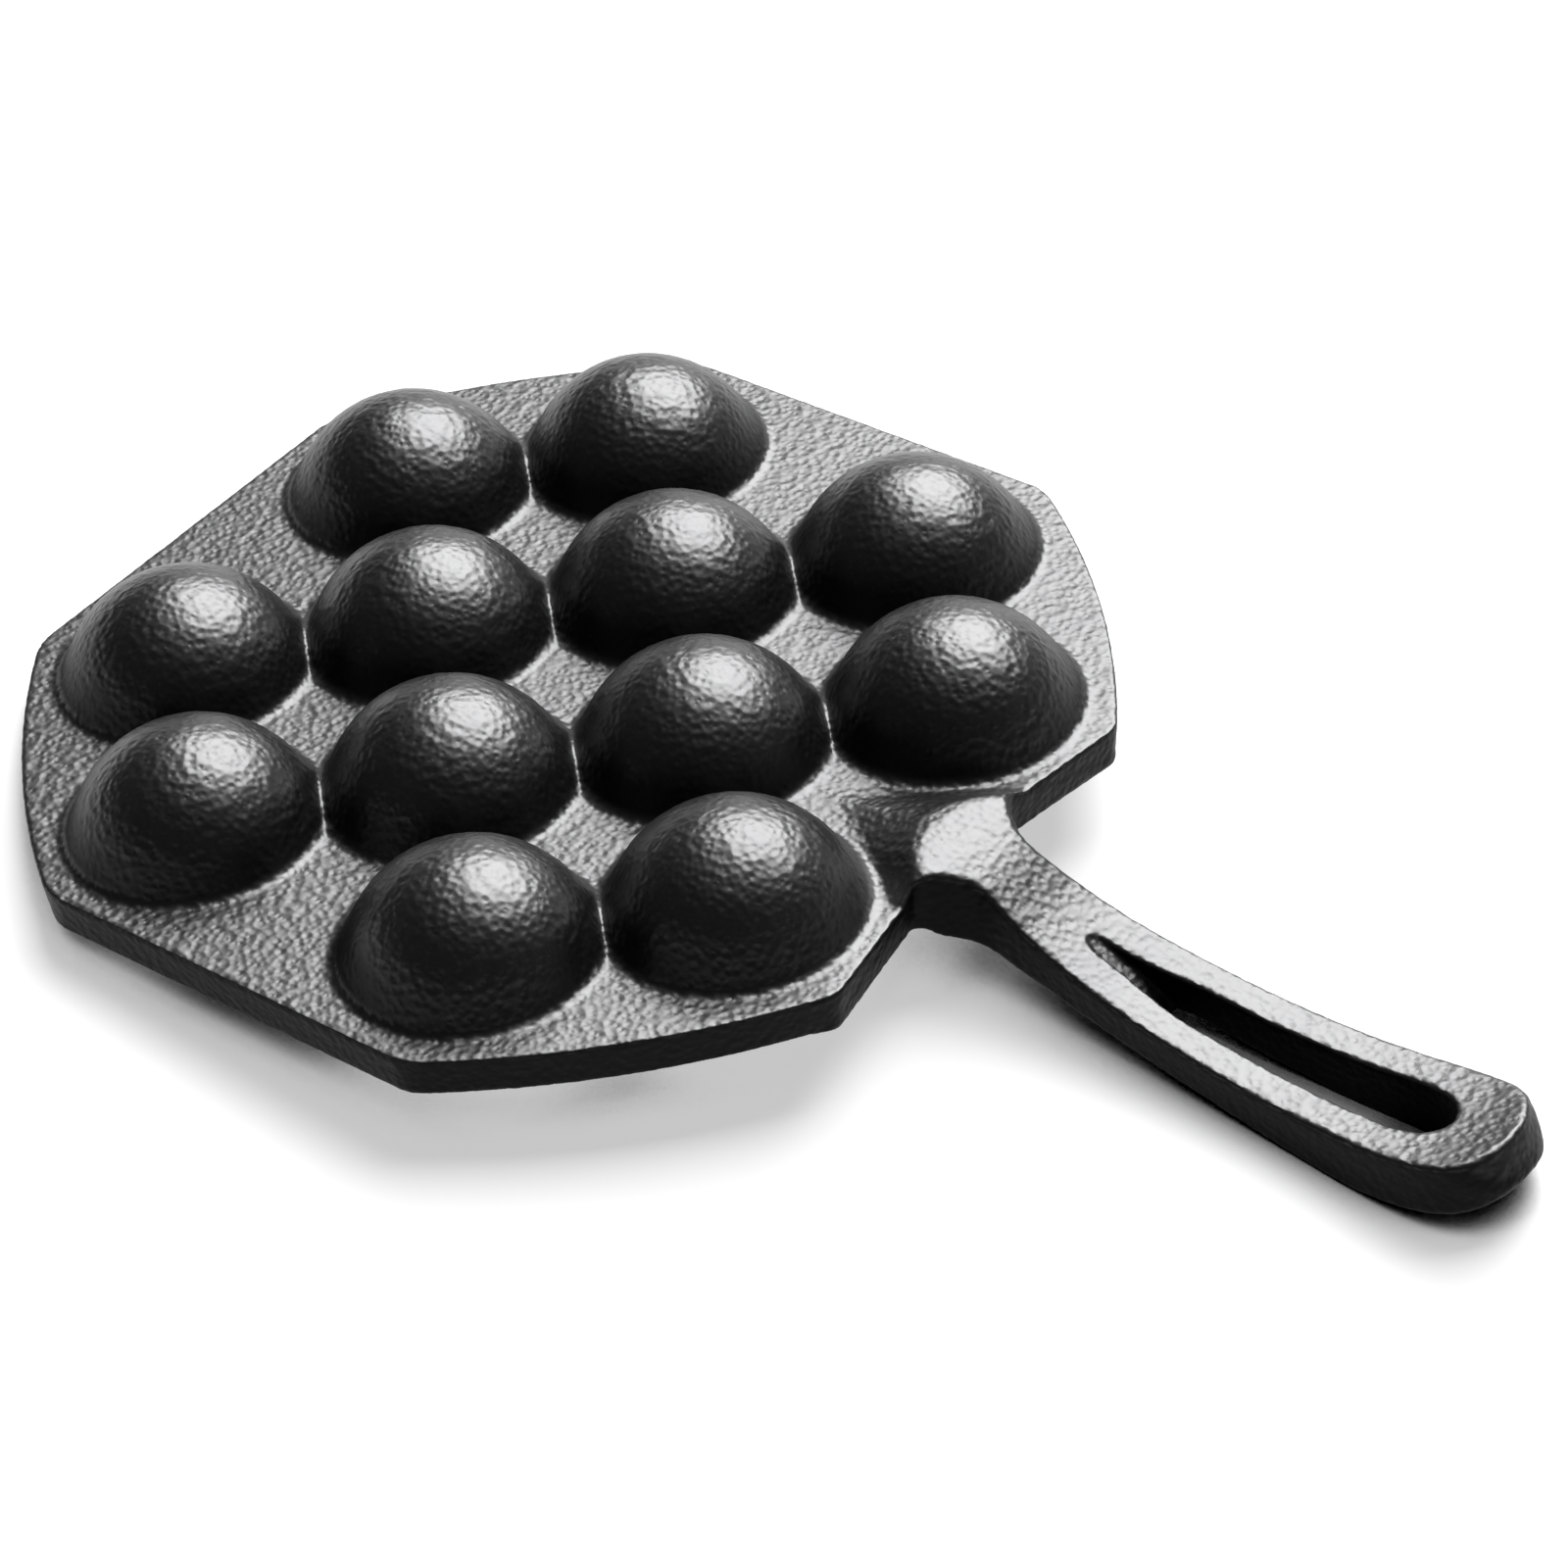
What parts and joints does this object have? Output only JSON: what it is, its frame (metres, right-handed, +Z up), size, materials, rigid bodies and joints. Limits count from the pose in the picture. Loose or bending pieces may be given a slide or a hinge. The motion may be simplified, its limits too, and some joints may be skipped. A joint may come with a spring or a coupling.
{
  "type": "takoyaki pan",
  "caption": "One-piece cast-iron takoyaki pan lying face down: bowed octagonal plate with a grid of round wells, a raised rim and a drooping slotted handle.",
  "frame": {"origin": "centre of the whole pan seen from above, at the level of the surface it lies on", "axes": "+X from the plate towards the tip of the handle, +Z up, away from the surface it lies on. The pan lies face down, so the domes of the wells point up and the cooking face points down, to -Z. It lies on the far edge of its rim and on the lowest part of its drooping handle, so the plate leans by about 4 degrees, with its handle side higher."},
  "size_m": [0.2938, 0.1854, 0.0368],
  "materials": {
    "seasoned_iron": "sand-cast and oiled black, fine pebbled grain, satin sheen"
  },
  "bodies": {
    "root": {"griddle_plate": "seasoned_iron", "raised_rim": "seasoned_iron", "well_01": "seasoned_iron", "well_02": "seasoned_iron", "well_03": "seasoned_iron", "well_04": "seasoned_iron", "well_05": "seasoned_iron", "well_06": "seasoned_iron", "well_07": "seasoned_iron", "well_08": "seasoned_iron", "well_09": "seasoned_iron", "well_10": "seasoned_iron", "well_11": "seasoned_iron", "well_12": "seasoned_iron", "handle_root": "seasoned_iron", "handle_grip": "seasoned_iron"}
  },
  "joints": []
}
